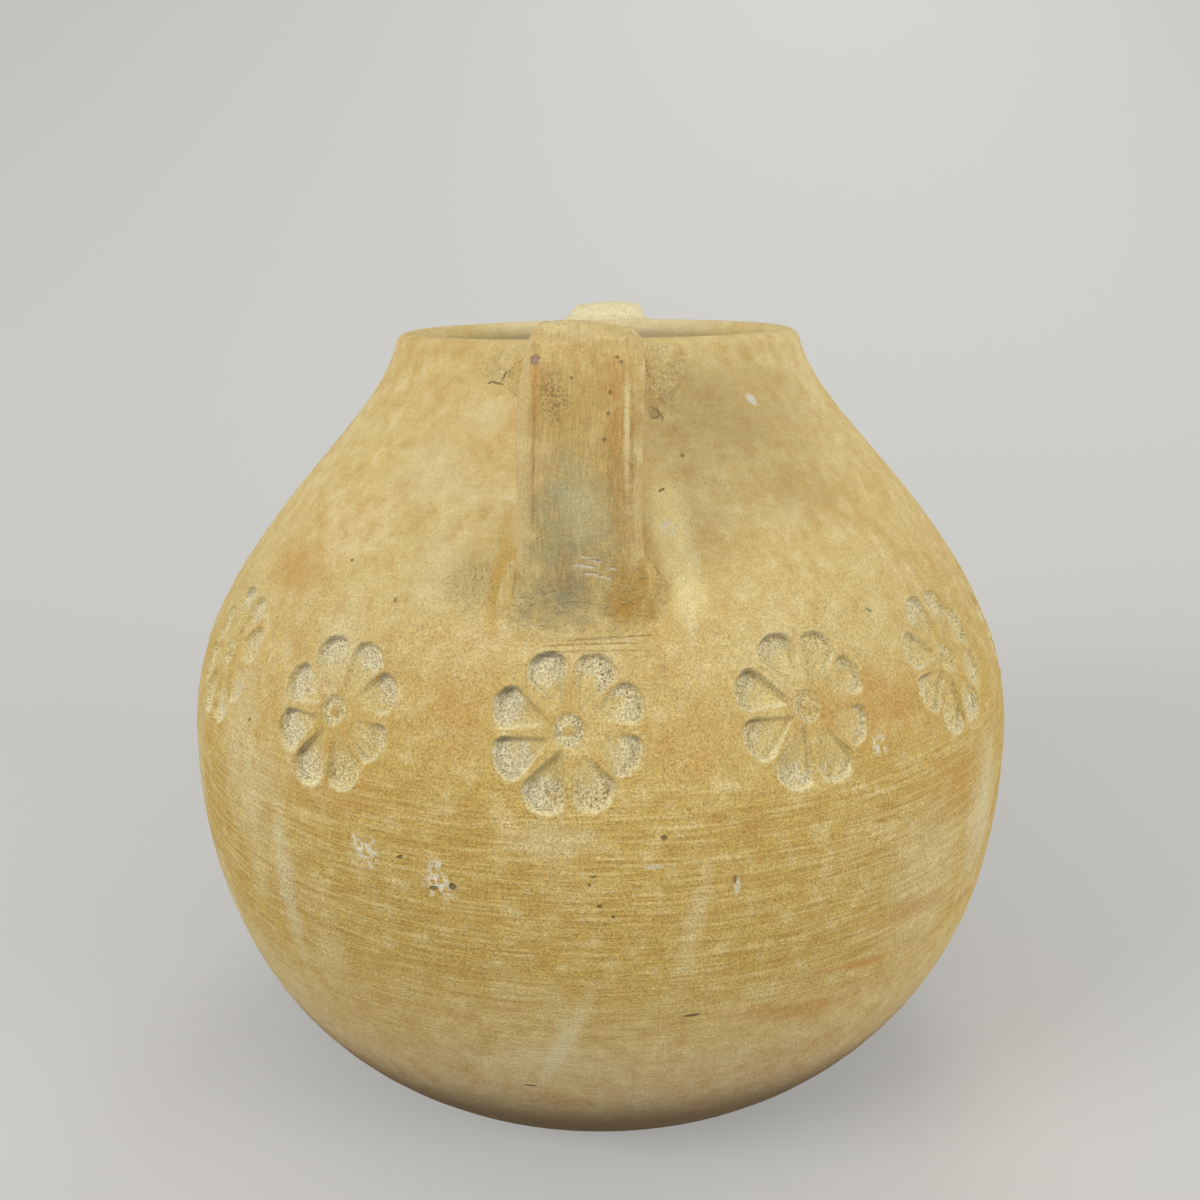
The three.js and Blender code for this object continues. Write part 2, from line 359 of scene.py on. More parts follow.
def grid_faces(ids, closed_rows=False):
    """Four-sided faces over a grid of point numbers whose columns run right round."""
    below, above = (ids, np.roll(ids, -1, 0)) if closed_rows else (ids[:-1], ids[1:])
    right = lambda g: np.roll(g, -1, 1)
    return np.stack([below, right(below), right(above), above], -1).reshape(-1, 4)


def seam_faces(coarse, fine, fine_above):
    """Triangles that join each coarse step to three fine ones."""
    a, b = coarse, np.roll(coarse, -1)
    f0, f1, f2, f3 = fine[0::3], fine[1::3], fine[2::3], np.roll(fine[0::3], -1)
    corners = ((a, b, f1), (b, f2, f1), (b, f3, f2), (a, f1, f0))
    faces = np.vstack([np.stack(three, -1) for three in corners])
    return faces if fine_above else faces[:, ::-1]


# %% Columns that crowd together in the prints, and stretches of the section as (from, to, rows)
columns_per_print = 78
band_heights = (110.5, 149.5)
fine_count = len(prints) * columns_per_print
sweep = np.linspace(-180, 180, 7201)
near_print = np.abs((sweep[:, None] - prints[:, 0] + 180) % 360 - 180).min(1)
crowd = 1 + 1.4 * rise(-near_print, -10.5, -8.8)
total = np.concatenate([[0], np.cumsum((crowd[1:] + crowd[:-1]) / 2)])
columns = np.interp(np.linspace(0, total[-1], fine_count, endpoint=False), total, sweep)

band_low, band_high = height_to_along(band_heights)
corner = along[int(np.argmin(np.hypot(*(section - inside[-1]).T)))]
foot_end, corner_half = height_to_along(6), 5
lip_start, lip_end = along[top] - 7, along[top] + 7
stretches = [
    (0, foot_end, 6), (foot_end, band_low, 22), (band_high, lip_start, 14),
    (lip_start, lip_end, 11), (lip_end, corner - corner_half, 13),
    (corner - corner_half, corner + corner_half, 5), (corner + corner_half, along[-1], 8),
]
spread = lambda low, high, count: np.linspace(low, high, count, endpoint=False)
low_rows = np.concatenate([spread(*s) for s in stretches[:2]])
fine_rows = np.linspace(band_low, band_high, 72)
high_rows = np.concatenate([spread(*s) for s in stretches[2:]])[1:]
print("rows:", len(low_rows), len(fine_rows), len(high_rows))
print("columns:", fine_count // 3, "and in the band", fine_count)

# %% Build the body
depth, dust_there = print_shape(columns[None, :], fine_rows[:, None])
blocks = [
    skin(columns[None, ::3], low_rows[:, None]),
    skin(columns[None, :], fine_rows[:, None], depth),
    skin(columns[None, ::3], high_rows[:, None]),
]
start = np.cumsum([0] + [b.shape[0] * b.shape[1] for b in blocks])
low_ids, fine_ids, high_ids = (
    np.arange(start[k], start[k + 1]).reshape(b.shape[:2]) for k, b in enumerate(blocks)
)
closing = np.stack([high_ids[-1], low_ids[0]])
faces = [
    grid_faces(low_ids), seam_faces(low_ids[-1], fine_ids[0], True), grid_faces(fine_ids),
    seam_faces(high_ids[0], fine_ids[-1], False), grid_faces(high_ids), grid_faces(closing),
]
slope = np.gradient(depth, fine_rows, axis=0)
pressed, faces_up, dusting = np.zeros((3, start[-1]))
pressed[fine_ids.ravel()] = depth.ravel()
faces_up[fine_ids.ravel()] = np.clip(slope, -3, 3).ravel()
dusting[fine_ids.ravel()] = dust_there.ravel()
outer_wall = np.zeros(start[-1])
outer_wall[:start[2]] = 1
outer_wall[high_ids[high_rows < along[top]].ravel()] = 1
body = make_piece(
    "jar_clay_body",
    np.vstack([b.reshape(-1, 3) for b in blocks]),
    [f for part in faces for f in part.tolist()],
    pressed=pressed,
    faces_up=faces_up,
    dusting=dusting,
    outer_wall=outer_wall,
)

# %% [markdown]
# ## The strap handles
#
# A strap is pulled from a lump of clay with a wet hand, then bent from the lip over to the shoulder
# while it is soft. Its section is an oblong with two raised edges and a dished middle, left by the
# thumb. It is carried along a line in the plane of the jar's axis. A curve object with a bevel
# profile would do that too, but the real strap changes as it goes: it is narrower and rounder over
# the crest and spreads towards its foot. With the section as a function of the place along the
# line, all of that is one array.

# %% The middle line of a strap, as (distance from the middle, height)
strap_rise = 6
strap_thickness = 9.5
foot_lean = 78
root_height, root_sunk = 198, 6
heel_height, heel_sunk = 152, 3
crest_reach = 13.5

root = (np.interp(root_height, outside[:, 1], outside[:, 0]) - root_sunk, root_height)
crest = (mouth[0] + crest_reach, mouth[1] + lip_crown + strap_rise - strap_thickness / 2)
heel = (np.interp(heel_height, outside[:, 1], outside[:, 0]) - heel_sunk, heel_height)
to_crest = np.array(away(crest, -10, 0))
strap_line = np.vstack([
    curve(root, root + (to_crest - root) * 2 / 3, crest + (to_crest - crest) * 2 / 3, crest),
    curve(crest, away(crest, 20, 0), away(heel, 28, foot_lean), heel)[1:],
    np.linspace(heel, away(heel, -6, foot_lean), 40)[1:],
])
strap_along = distances(strap_line)
strap_out = -outward(strap_line)
strap_length = strap_along[-1]
print("strap:", round(strap_length, 1), "mm long, crest", np.round(crest, 1).tolist())

# %% [markdown]
# ### How the section changes
#
# The numbers below are read off the photograph at a few places along the strap: half its width to
# the left and to the right, how square its corners are, and how deep the thumb's groove is. Between
# them they run smoothly.

# %% Section of the strap at any place along it
places = [0, 5, 10, 15, 20, 27, 34, 41, 55, 70, 78, 85, 93]
left_half = [16.5, 15.4, 13.0, 11.3, 10.8, 11.6, 12.8, 13.3, 13.3, 13.3, 13.5, 13.8, 13.8]
right_half = [16.5, 15.4, 13.2, 11.9, 11.6, 12.2, 12.9, 13.1, 12.7, 12.6, 12.8, 13.0, 13.0]
squareness = [0.95, 0.95, 0.94, 0.92, 0.88, 0.80, 0.68, 0.60, 0.55, 0.58, 0.60, 0.62, 0.62]
dish_depth = [0.4, 0.6, 0.8, 1.0, 1.1, 1.0, 0.95, 0.95, 1.0, 1.0, 0.7, 0.4, 0.2]


def between(at, values):
    """The values given at the measured places, joined by straight lines and averaged over 6 mm."""
    shift = np.linspace(-3, 3, 7)
    return np.mean([np.interp(at + d, places, values) for d in shift], axis=0)


def strap(at, turn, flip=1):
    """Points of the strap, at mm along it and turn round its section: (cos, sin) of the turn, each
    raised to the power of the squareness, times half the width and half the thickness, less the
    dish."""
    c, s = np.cos(turn), np.sin(turn)
    power = between(at, squareness)
    across = np.sign(c) * np.abs(c) ** power
    outer = np.sign(s) * np.abs(s) ** power
    half = np.where(c * flip < 0, between(at, left_half), between(at, right_half))
    half = half + 0.22 * np.sin(at / 5.3 + 2 * np.sign(c)) * np.abs(across) ** 4
    groove = 0.75 * rise(-np.abs(across), -0.82, -0.66) + 0.25 * np.cos(np.pi * across / 2) ** 2
    dip = between(at, dish_depth) * groove * rise(s, 0, 0.5)
    wave = 0.16 * np.sin(at / 7.1 + 1.5 * across) + 0.08 * np.sin(at / 3.3 - 3 * across)
    lopsided = -0.8 * across * np.exp(-(((at - 23) / 9) ** 2)) * (flip > 0)
    thick = outer * (strap_thickness / 2 + wave) - dip + lopsided
    middle, outwards = point_on(strap_line, strap_along, at), point_on(strap_out, strap_along, at)
    r, z = (m + thick * o for m, o in zip(middle, outwards))
    return np.stack(np.broadcast_arrays(across * half, -r, z), -1)


def even_turns(count):
    """Turns round the section that give steps of equal length on the strap's surface."""
    fine = np.linspace(0, 2 * np.pi, 4001)
    ring = strap(np.full_like(fine, 50.0), fine)
    far = distances(ring)
    return np.interp(np.linspace(0, far[-1], count, endpoint=False), far, fine)


turns = even_turns(128)
print("section of", len(turns), "points,", np.ptp(strap(50.0, turns)[:, 0]).round(1), "mm wide")

# %% [markdown]
# ### Where a strap goes into the wall
#
# A potter cuts the ends of a strap to the curve of the pot before joining it. To do the same, the
# place where the strap's surface meets the wall has to be known for every line along the strap.
# There is no short formula for it, so it is found by walking in from the middle until the point is
# inside the wall.

# %% Find the joint lines


def smooth_round(values, times=6):
    """A closed row of values, each replaced several times by (left + 2 own + right) / 4."""
    for _ in range(times):
        values = (np.roll(values, 1) + 2 * values + np.roll(values, -1)) / 4
    return values


def where_it_enters(at_lip, flip):
    """For each turn round the section, the place along the strap where (radius of the wall at that
    height - distance from the axis) changes sign, between two of 1500 samples."""
    at = np.linspace(0 if at_lip else strap_length, strap_length / 2, 1500)[:, None]
    p = strap(at, turns[None, :], flip)
    wall = np.interp(p[..., 2], section[bottom:top, 1], section[bottom:top, 0])
    buried = np.where(p[..., 2] < section[top, 1], wall - np.hypot(p[..., 0], p[..., 1]), -1)
    last = len(at) - 1 - np.argmax(buried[::-1] >= 0, axis=0)
    line = np.arange(len(turns))
    a, b = buried[last, line], buried[np.minimum(last + 1, len(at) - 1), line]
    share = np.where(b < -0.99, 0.5, a / np.maximum(a - b, 1e-9))
    return smooth_round(at[last, 0] + share * (at[1, 0] - at[0, 0]))


for at_lip in (True, False):
    line = strap(where_it_enters(at_lip, 1), turns)
    print("joint line from", line[:, 2].min().round(1), "to", line[:, 2].max().round(1), "mm high")

# %% Build the straps: rings of points from one joint line to the other, and a fan over each end
hidden_end = 2.5
ring_count = 130


def half_turn(points, rear):
    """The same points on the far side of the jar: x and y change sign."""
    return points * np.array([-1, -1, 1]) if rear else points


def build_strap(name, rear):
    """Rings whose place along the strap is start + t (end - start), with the start and the end of
    each line a little past its joint line, so that the cut ends follow the wall and stay hidden in
    it."""
    flip = -1 if rear else 1
    start, end = where_it_enters(True, flip) - hidden_end, where_it_enters(False, flip) + hidden_end
    at = start + np.linspace(0, 1, ring_count)[:, None] * (end - start)
    rings = strap(at, turns[None, :], flip)
    ids = np.arange(rings.shape[0] * rings.shape[1]).reshape(rings.shape[:2])
    ends = ids.size + np.arange(2)
    fans = np.vstack([
        np.stack([np.roll(ids[0], -1), ids[0], np.full(len(turns), ends[0])], -1),
        np.stack([ids[-1], np.roll(ids[-1], -1), np.full(len(turns), ends[1])], -1),
    ])
    points = np.vstack([rings.reshape(-1, 3), rings[0].mean(0), rings[-1].mean(0)])
    across = rings[..., 0] * flip
    lay = np.stack(np.broadcast_arrays(across, at, np.sin(turns)[None, :] * 5), -1).reshape(-1, 3)
    lay = np.vstack([lay, [[0, 0, 0], [0, strap_length, 0]]]) * 0.001
    faces = grid_faces(ids).tolist() + fans.tolist()
    return make_piece(name, half_turn(points, rear), faces, lay=lay)


front_strap = build_strap("front_strap", False)
rear_strap = build_strap("rear_strap", True)

# %% [markdown]
# ## Clay pressed round the ends
#
# Where a strap meets the jar, the potter pressed soft clay into the corner and wiped it smooth. The
# result is a fillet that starts on the strap, ends on the wall, and touches both without a crease.
# From each point of the joint line, one end of a curve lies some way up the strap and the other
# some way out on the wall, and both handles of the curve point to the joint line. Such a curve
# leaves each surface along the surface itself. A Boolean with a bevel could make something like it,
# but not with a different width on every side, and here the sides spread widely while the front is
# wiped thin.

# %% Directions square to a joint line, over the wall


def joint_line(at_lip, flip):
    """The joint line as points, degrees round, mm along the wall's section, and the unit vector on
    the wall that points away from the strap: the line's own direction, smoothed and turned by 90
    degrees."""
    enters = where_it_enters(at_lip, flip)
    points = strap(enters, turns, flip)
    azimuth = np.degrees(np.arctan2(points[:, 0], -points[:, 1]))
    at = smooth_round(height_to_along(np.minimum(points[:, 2], section[top, 1])))
    x = smooth_round(np.hypot(points[:, 0], points[:, 1]) * np.radians(azimuth))
    ax = smooth_round(np.roll(at, -1) - np.roll(at, 1), 14)
    ay = smooth_round(np.roll(x, 1) - np.roll(x, -1), 14)
    sign = np.sign(np.sum(ax * (x - x.mean()) + ay * (at - at.mean())))
    away_x, away_at = sign * ax / np.hypot(ax, ay), sign * ay / np.hypot(ax, ay)
    return enters, points, azimuth, at, away_x, away_at


lowest = len(turns) // 4
away_there = [v[lowest] for v in joint_line(False, 1)[4:]]
print("away from the foot, at its lowest point:", np.round(away_there, 2).tolist())

# %% A fillet as a grid of curves
fillet_rows = 26


def build_luting(name, at_lip, rear, up_strap, out_wall, fullness):
    """Cubic curves from S on the strap to E on the wall, with handles S + fullness (C - S) and
    E + fullness (C - E), C on the joint line. The widths are for the left, the right, the outer
    face and the face towards the jar. Rows sunk in the wall and in the strap close the skin."""
    flip = -1 if rear else 1
    enters, corner_line, azimuth, at, away_x, away_at = joint_line(at_lip, flip)
    c, s = np.cos(turns), np.sin(turns)
    side = np.abs(c)

    def widths(four):
        """A width for each turn: the four given ones mixed by |cos|, times a ripple."""
        left_right = np.where(c * flip < 0, four[0], four[1])
        mixed = side * left_right + (1 - side) * np.where(s > 0, four[2], four[3])
        ripple = 1 + 0.07 * np.sin(3 * turns + 1) + 0.05 * np.sin(7 * turns)
        return smooth_round(mixed, 24) * ripple

    up = widths(up_strap) * (1 if at_lip else -1)
    out = widths(out_wall)

    def on_strap(distance, sunk):
        """Points some way along the strap from its joint line, sunk towards its middle."""
        surface = strap(enters + distance, turns, flip)
        middle_r, middle_z = point_on(strap_line, strap_along, enters + distance)
        inwards = np.stack([surface[:, 0] * 0.6, -middle_r, middle_z], 1) - surface
        return surface + sunk * inwards / np.linalg.norm(inwards, axis=1)[:, None]

    def on_wall(distance, sunk):
        """Points some way out from the joint line, with angle = distance / radius, sunk in."""
        radius = np.hypot(corner_line[:, 0], corner_line[:, 1])
        turn = azimuth + np.degrees(distance * away_x / radius)
        return skin(turn, at + distance * away_at, sunk)

    begin, end = on_strap(up, 0), on_wall(out, 0)
    handles = (side_end + fullness * (corner_line - side_end) for side_end in (begin, end))
    fillet = curve(begin, *handles, end, fillet_rows)
    rows = np.stack([
        on_strap(up * 1.14, 0.5), on_strap(up * 1.06, 0.1), *fillet,
        on_wall(out * 1.1, 0.1), on_wall(out * 1.25, 0.5), on_wall(out * 0.3, 2.5),
        on_strap(up * 0.3, 2.2), on_strap(up * 0.65, 2.0), on_strap(up * 0.95, 1.6),
    ])
    ids = np.arange(rows.shape[0] * rows.shape[1]).reshape(rows.shape[:2])
    faces, points = grid_faces(ids, closed_rows=True), rows.reshape(-1, 3)
    a, b, d, e = (points[faces[:, k]] for k in range(4))
    volume = np.sum(a * np.cross(b, d)) + np.sum(a * np.cross(d, e))
    faces = faces if volume > 0 else faces[:, ::-1]
    share = np.concatenate([[0, 0], np.linspace(0, 1, fillet_rows), np.ones(6)])
    share = np.repeat(share, len(turns))
    place = np.column_stack([np.tile(c * flip, len(rows)), np.tile(s, len(rows)), share])
    return make_piece(name, half_turn(points, rear), faces.tolist(), place=place)


print("rows of points in a fillet:", fillet_rows)

# %% Build the fillets: how far each goes up the strap and out on the wall, and how full it is
luting = {
    name: build_luting(f"{name}_luting", "upper" in name, "rear" in name, *widths)
    for name, *widths in (
        ("front_upper", (9, 8, 4, 8), (8.5, 8.0, 2.5, 6), 0.55),
        ("front_lower", (15, 15, 6, 12), (4.4, 4.8, 4.2, 7), 0.5),
        ("rear_upper", (10, 11, 5, 8), (8.5, 8.0, 3.0, 6), 0.5),
        ("rear_lower", (14, 15, 6, 12), (4.6, 4.2, 4.0, 7), 0.5),
    )
}

# %% [markdown]
# ## Fired clay
#
# The clay is matt and dusty. Its colour drifts between straw and a soft orange, with fine level
# lines from the last wipe on the wheel, a sandy grain, small pits and pale flakes. Painting that by
# hand would tie it to one view. Noise textures read the place in space instead, so the colour of
# the wall runs on across the pressed clay and the straps without a seam.
#
# Shader maths reads best as plain expressions, so a small class lets sockets be added and
# multiplied.

# %% A socket to reckon with, and a recipe that grows nodes


class Value:
    """A socket that takes part in expressions: each operator adds one Math node."""

    def __init__(self, recipe, socket):
        self.recipe, self.socket = recipe, socket

    def reckon(self, operation, *values):
        """The result of one Math node."""
        return self.recipe.node("ShaderNodeMath", {"operation": operation}, dict(enumerate(values)))

    def __add__(self, other):
        return self.reckon("ADD", self, other)

    def __sub__(self, other):
        return self.reckon("SUBTRACT", self, other)

    def __rsub__(self, other):
        return self.reckon("SUBTRACT", other, self)

    def __mul__(self, other):
        return self.reckon("MULTIPLY", self, other)

    __radd__, __rmul__ = __add__, __mul__


class Recipe:
    """A material in the making."""

    def __init__(self, name):
        self.material = bpy.data.materials.new(name)
        self.material.use_nodes = True
        self.tree = self.material.node_tree
        self.tree.nodes.clear()

    def node(self, kind, settings=None, values=None, out=0):
        """Adds a node: first its settings, then a value or a link for each named or numbered
        socket. Gives back the output asked for."""
        made = self.tree.nodes.new(kind)
        for key, setting in (settings or {}).items():
            setattr(made, key, setting)
        for key, value in (values or {}).items():
            if isinstance(value, Value):
                self.tree.links.new(value.socket, made.inputs[key])
            else:
                made.inputs[key].default_value = value
        return Value(self, made.outputs[out]) if made.outputs else None

    def kept(self, name, out=2):
        """A value kept per point of the mesh: output 2 gives a number, output 1 a place."""
        return self.node("ShaderNodeAttribute", {"attribute_name": name}, {}, out)


def part_of(place, axis):
    """One of the three numbers of a place."""
    return place.recipe.node("ShaderNodeSeparateXYZ", {}, {0: place}, axis)


def colour(red, green, blue):
    """A colour measured on the photograph, 0 to 255, as the linear numbers that a socket takes."""
    channels = np.array([red, green, blue]) / 255
    linear = np.where(channels <= 0.04045, channels / 12.92, ((channels + 0.055) / 1.055) ** 2.4)
    return (*linear.tolist(), 1.0)


print("straw is", np.round(colour(204, 184, 128), 3).tolist())

# %% Noise, steps and paint in few words


def cloud(place, size, detail=2.0, stretch=(1, 1, 1), shift=0.0, rough=0.5):
    """Noise from 0 to 1 with blotches of a size in mm. A stretch below 1 draws it out along an
    axis."""
    recipe = place.recipe
    moves = {"Vector": place, "Location": (shift, -shift, shift), "Scale": stretch}
    moved = recipe.node("ShaderNodeMapping", {}, moves)
    values = {"Vector": moved, "Scale": 1000 / size, "Detail": detail, "Roughness": rough}
    return recipe.node("ShaderNodeTexNoise", {}, values)


def step_up(low, high, value):
    """0 below low, 1 above high, smooth between."""
    values = {0: value, 1: low, 2: high, 3: 0.0, 4: 1.0}
    return value.recipe.node("ShaderNodeMapRange", {"interpolation_type": "SMOOTHSTEP"}, values)


def paint(under, over, mask):
    """One colour laid over another where the mask is 1. A colour is a value, or three numbers."""
    under, over = (shade if isinstance(shade, Value) else colour(*shade) for shade in (under, over))
    values = {0: mask, 6: under, 7: over}
    return mask.recipe.node("ShaderNodeMix", {"data_type": "RGBA"}, values, out=2)


def brighten(under, factor):
    """Each channel of a colour times a factor."""
    grey = factor.recipe.node("ShaderNodeCombineColor", {}, {0: factor, 1: factor, 2: factor})
    settings = {"data_type": "RGBA", "blend_type": "MULTIPLY"}
    return factor.recipe.node("ShaderNodeMix", settings, {0: 1.0, 6: under, 7: grey}, out=2)


def patch(place, middle, axes, size, turn=0.0, soft=0.5, ragged=None):
    """1 inside an oval: a Mapping node moves, turns and scales space so that the oval is a ball of
    radius 0.5, and the mask is a step in a round gradient, which falls from 1 to 0.5 there. Sizes
    are in mm."""
    recipe = place.recipe
    turned = Matrix(axes).transposed() @ Matrix.Rotation(math.radians(turn), 3, "Z")
    size = [s / 1000 for s in size]
    local = recipe.node("ShaderNodeMapping", {"vector_type": "TEXTURE"}, {
        "Vector": place, "Location": middle, "Rotation": turned.to_euler(), "Scale": size,
    })
    ball = {"gradient_type": "SPHERICAL"}
    near = recipe.node("ShaderNodeTexGradient", ball, {"Vector": local}, out=1)
    if ragged is not None:
        near = near - 0.5 * ragged
    return step_up(0.5, 0.5 + soft / 2, near)


def wall_patch(place, azimuth, height, wide, tall, turn=0.0, soft=0.5, ragged=None):
    """A patch on the wall, laid square to its outward direction."""
    across, at = math.radians(azimuth), height_to_along(height)
    nr, nz = point_on(section_out, along, at)
    level = Vector((math.cos(across), math.sin(across), 0))
    out = Vector((math.sin(across) * nr, -math.cos(across) * nr, nz)).normalized()
    middle = by_hand(skin(azimuth, at)) * 0.001
    size = (wide, tall, max(wide, tall, 8))
    return patch(place, middle, (level, out.cross(level), out), size, turn, soft, ragged)


print("a patch's middle:", by_hand(skin(0, height_to_along(130))).round(1).tolist())

# %% [markdown]
# ### One clay for every piece
#
# The large drifts of colour, the level lines and the grain are the same for all pieces, because all
# of them read the same place. What differs is small: the stamped prints hold pale dust, the straps
# were wiped lengthwise, and the pressed clay is rougher.

# %% The common ground, with heights in metres between which a zone fades in or out
belly_starts, belly_ends = (0.050, 0.080), (0.108, 0.150)
foot_ends = (0.045, 0.085)


class Clay(Recipe):
    """A recipe that keeps its place and height, and its colour and its relief in mm so far."""

    def paint(self, over, mask):
        """Lays a colour over the one so far, where the mask is 1."""
        self.ground = paint(self.ground, over, mask)

    def mark(self, over, mask, strength, depth):
        """Paints a mask by its strength and dents it: relief - depth x mask."""
        self.paint(over, mask * strength)
        self.relief = self.relief - depth * mask


def clay_ground(name):
    """The clay that all pieces share: straw with clouds of ochre and of pale dust over it, the
    belly warmer, the foot paler, then a mottling and level lines."""
    clay = Clay(name)
    clay.place = place = clay.node("ShaderNodeTexCoord", {}, {}, out=3)
    clay.height = height = part_of(place, 2)
    belly_zone = step_up(*belly_starts, height) * (1 - step_up(*belly_ends, height))
    foot_zone = 1 - step_up(0.030, 0.072, height + 0.012 * cloud(place, 30, 2.0, (1, 1, 0.4), 0.5))
    broad = cloud(place, 44, 3.0, (0.8, 0.8, 1.2), 0.7)
    banded = cloud(place, 13, 3.0, (0.14, 0.14, 1), 0.13, 0.6)
    ochre = step_up(0.42, 0.64, 0.5 * broad + 0.5 * banded + 0.04 * belly_zone)
    clay.ground = paint((212, 190, 128), (203, 166, 96), ochre * 0.5)
    clay.paint((200, 168, 82), belly_zone * 0.72)
    dusty = step_up(0.50, 0.68, cloud(place, 28, 4.0, (1, 1, 0.8), 1.9, 0.6))
    clay.paint((227, 211, 160), dusty * (0.38 - 0.1 * belly_zone))
    clay.paint((207, 180, 136), foot_zone * 0.85)

    mottled = cloud(place, 5, 4.0, shift=0.55, rough=0.65)
    clay.paint((192, 148, 80), (1 - step_up(0.34, 0.50, mottled)) * 0.38)
    clay.paint((233, 216, 162), step_up(0.50, 0.68, mottled) * 0.42)
    lines = cloud(place, 0.75, 2.0, (0.05, 0.05, 1), 0.22, 0.65)
    wiped = 0.16 + 0.84 * (1 - step_up(0.112, 0.124, height))
    wiped = wiped * (0.3 + 0.7 * step_up(*foot_ends, height))
    clay.paint((176, 134, 70), (1 - step_up(0.34, 0.50, lines)) * wiped * 0.38)
    clay.paint((236, 218, 160), step_up(0.50, 0.66, lines) * wiped * 0.38)
    clay.relief = 0.24 * wiped * lines + 0.35 * mottled
    return clay


print("the belly is warmest from", belly_starts[1], "to", belly_ends[0], "m")

# %% Sand, dots and the matt finish
sand_grain = 0.5


def sandy(clay, amount):
    """Grains of sand over colour and relief: brighter and darker by a share, with dark specks."""
    grain = cloud(clay.place, sand_grain, 2.0, shift=0.4, rough=0.75)
    clay.ground = brighten(clay.ground, 1 + (grain - 0.5) * amount)
    patchy = step_up(0.40, 0.62, cloud(clay.place, 20, 2.0, shift=0.77))
    specks = step_up(0.60, 0.70, cloud(clay.place, 0.7, 1.0, shift=0.17))
    clay.paint((160, 122, 62), specks * (0.08 + 0.4 * patchy) * amount * 0.8)
    clay.relief = clay.relief + 0.26 * amount * grain


def dots(place, size, fill):
    """Round dots: 1 within a share of a cell's size from the cell's own point (Voronoi cells)."""
    cells = place.recipe.node("ShaderNodeTexVoronoi", {}, {"Vector": place, "Scale": 1000 / size})
    return 1 - step_up(fill * 0.5, fill, cells)


def finish_clay(clay, rough):
    """A matt shader with the clay's colour, and with its relief as a bump."""
    values = {"Strength": 1.0, "Distance": 0.001, "Height": clay.relief}
    bump = clay.node("ShaderNodeBump", {}, values)
    shader = clay.node("ShaderNodeBsdfPrincipled", {}, {
        "Base Color": clay.ground, "Roughness": rough, "Normal": bump, "Specular IOR Level": 0.25,
    })
    clay.node("ShaderNodeOutputMaterial", {}, {0: shader})
    clay.material.diffuse_color = colour(200, 178, 122)
    return clay.material


print("grains of sand:", sand_grain, "mm")

# %% [markdown]
# ### Marks of age on the wall
#
# Dust, smoke and a few knocks can be found again in the photograph, so each of them is a patch with
# a place of its own. Some pale and dark patches are painted light and painted shade instead. Those
# of one kind are added up before they are painted, which keeps the material small. The marks at the
# back are made up in the same manner.

# %% Stains of the wall, with painted light and painted shade: a colour, how softly they fade, and their patches


def wall_patches(place, rows, soft, ragged):
    """The sum of several patches of one kind, to be painted and dented in one go. A row is degrees
    round, mm high, the patch's width and height, and its strength and its turn, if any."""

    def one(azimuth, z, wide, tall, strength=1, turn=0):
        """One patch times its strength."""
        return wall_patch(place, azimuth, z, wide, tall, turn, soft, ragged) * strength

    total = 0
    for row in rows:
        total = one(*row) + total
    return total


# Pale patches, partly pale dust and partly painted light: a painted sheen towards the edges of the
# belly and painted light right of the front strap's foot
pale_dust_and_light_patches = (
    (-37, 84, 10, 66, 0.6, 4), (-2, 58, 7, 46, 0.6, -22), (-3, 108, 30, 12, 0.45),
    (12, 88, 7, 36, 0.35, -14), (-31, 71, 16, 30, 0.3), (-43, 106, 34, 44, 0.4),
    (-33, 140, 16, 36, 0.45), (-48, 120, 24, 50, 0.35), (15.6, 162, 8, 30, 0.5),
    (-22, 188, 20, 14, 0.35, 20), (150, 90, 8, 50, 0.4, 6), (-30, 176, 30, 26, 0.35),
    (-58, 60, 24, 60, 0.45), (-63, 98, 22, 60, 0.5), (58, 90, 30, 60, 0.7), (44, 84, 46, 58, 0.42),
    (13.9, 152, 5, 26, 0.5), (-9.5, 149, 6, 10, 0.4), (-21, 158, 18, 26, 0.4),
    (-4, 50, 60, 22, 0.3),
)
# Painted light on the wall right of the front strap's foot
painted_light_patches = ((13.2, 168, 15, 40, 0.7), (14.5, 156, 13, 26, 0.4))
warm_patches = (
    (-49, 152, 40, 24, 0.5), (36, 128, 60, 26, 0.5), (50, 105, 42, 24, 0.5),
    (26, 60, 56, 9, 0.7, -10), (40, 78, 48, 8, 0.6, -8), (34, 68, 40, 4, 0.85, -9),
    (-30, 112, 50, 16, 0.4), (-14, 132, 22, 26, 0.35), (12, 126, 26, 20, 0.35),
    (180, 140, 70, 30, 0.4), (120, 95, 70, 20, 0.45), (240, 120, 60, 24, 0.4),
)
smoke_patches = (
    (-15.5, 156, 20, 22, 0.6, 20), (-21, 199, 14, 8, 0.4), (19, 195.5, 13, 20, 0.85, -10),
    (0, 146.5, 40, 4, 0.3),
)
rubbed_patches = ((-11.6, 156, 6, 32, 0.8), (11.2, 152, 4, 18, 0.4))
# Painted shade on the right of the neck and the shoulder
painted_shade_patches = ((34, 189, 84, 46, 0.5), (42, 172, 50, 30, 0.35))
wall_stains_light_and_shade = (
    ((224, 210, 166), 0.9, pale_dust_and_light_patches),
    ((246, 230, 164), 0.9, painted_light_patches),
    ((198, 152, 82), 0.9, warm_patches),
    ((184, 168, 116), 0.9, smoke_patches),
    ((200, 166, 88), 0.7, rubbed_patches),
    ((172, 146, 90), 0.9, painted_shade_patches),
)
print("stains:", [len(rows) for *_, rows in wall_stains_light_and_shade], "patches")

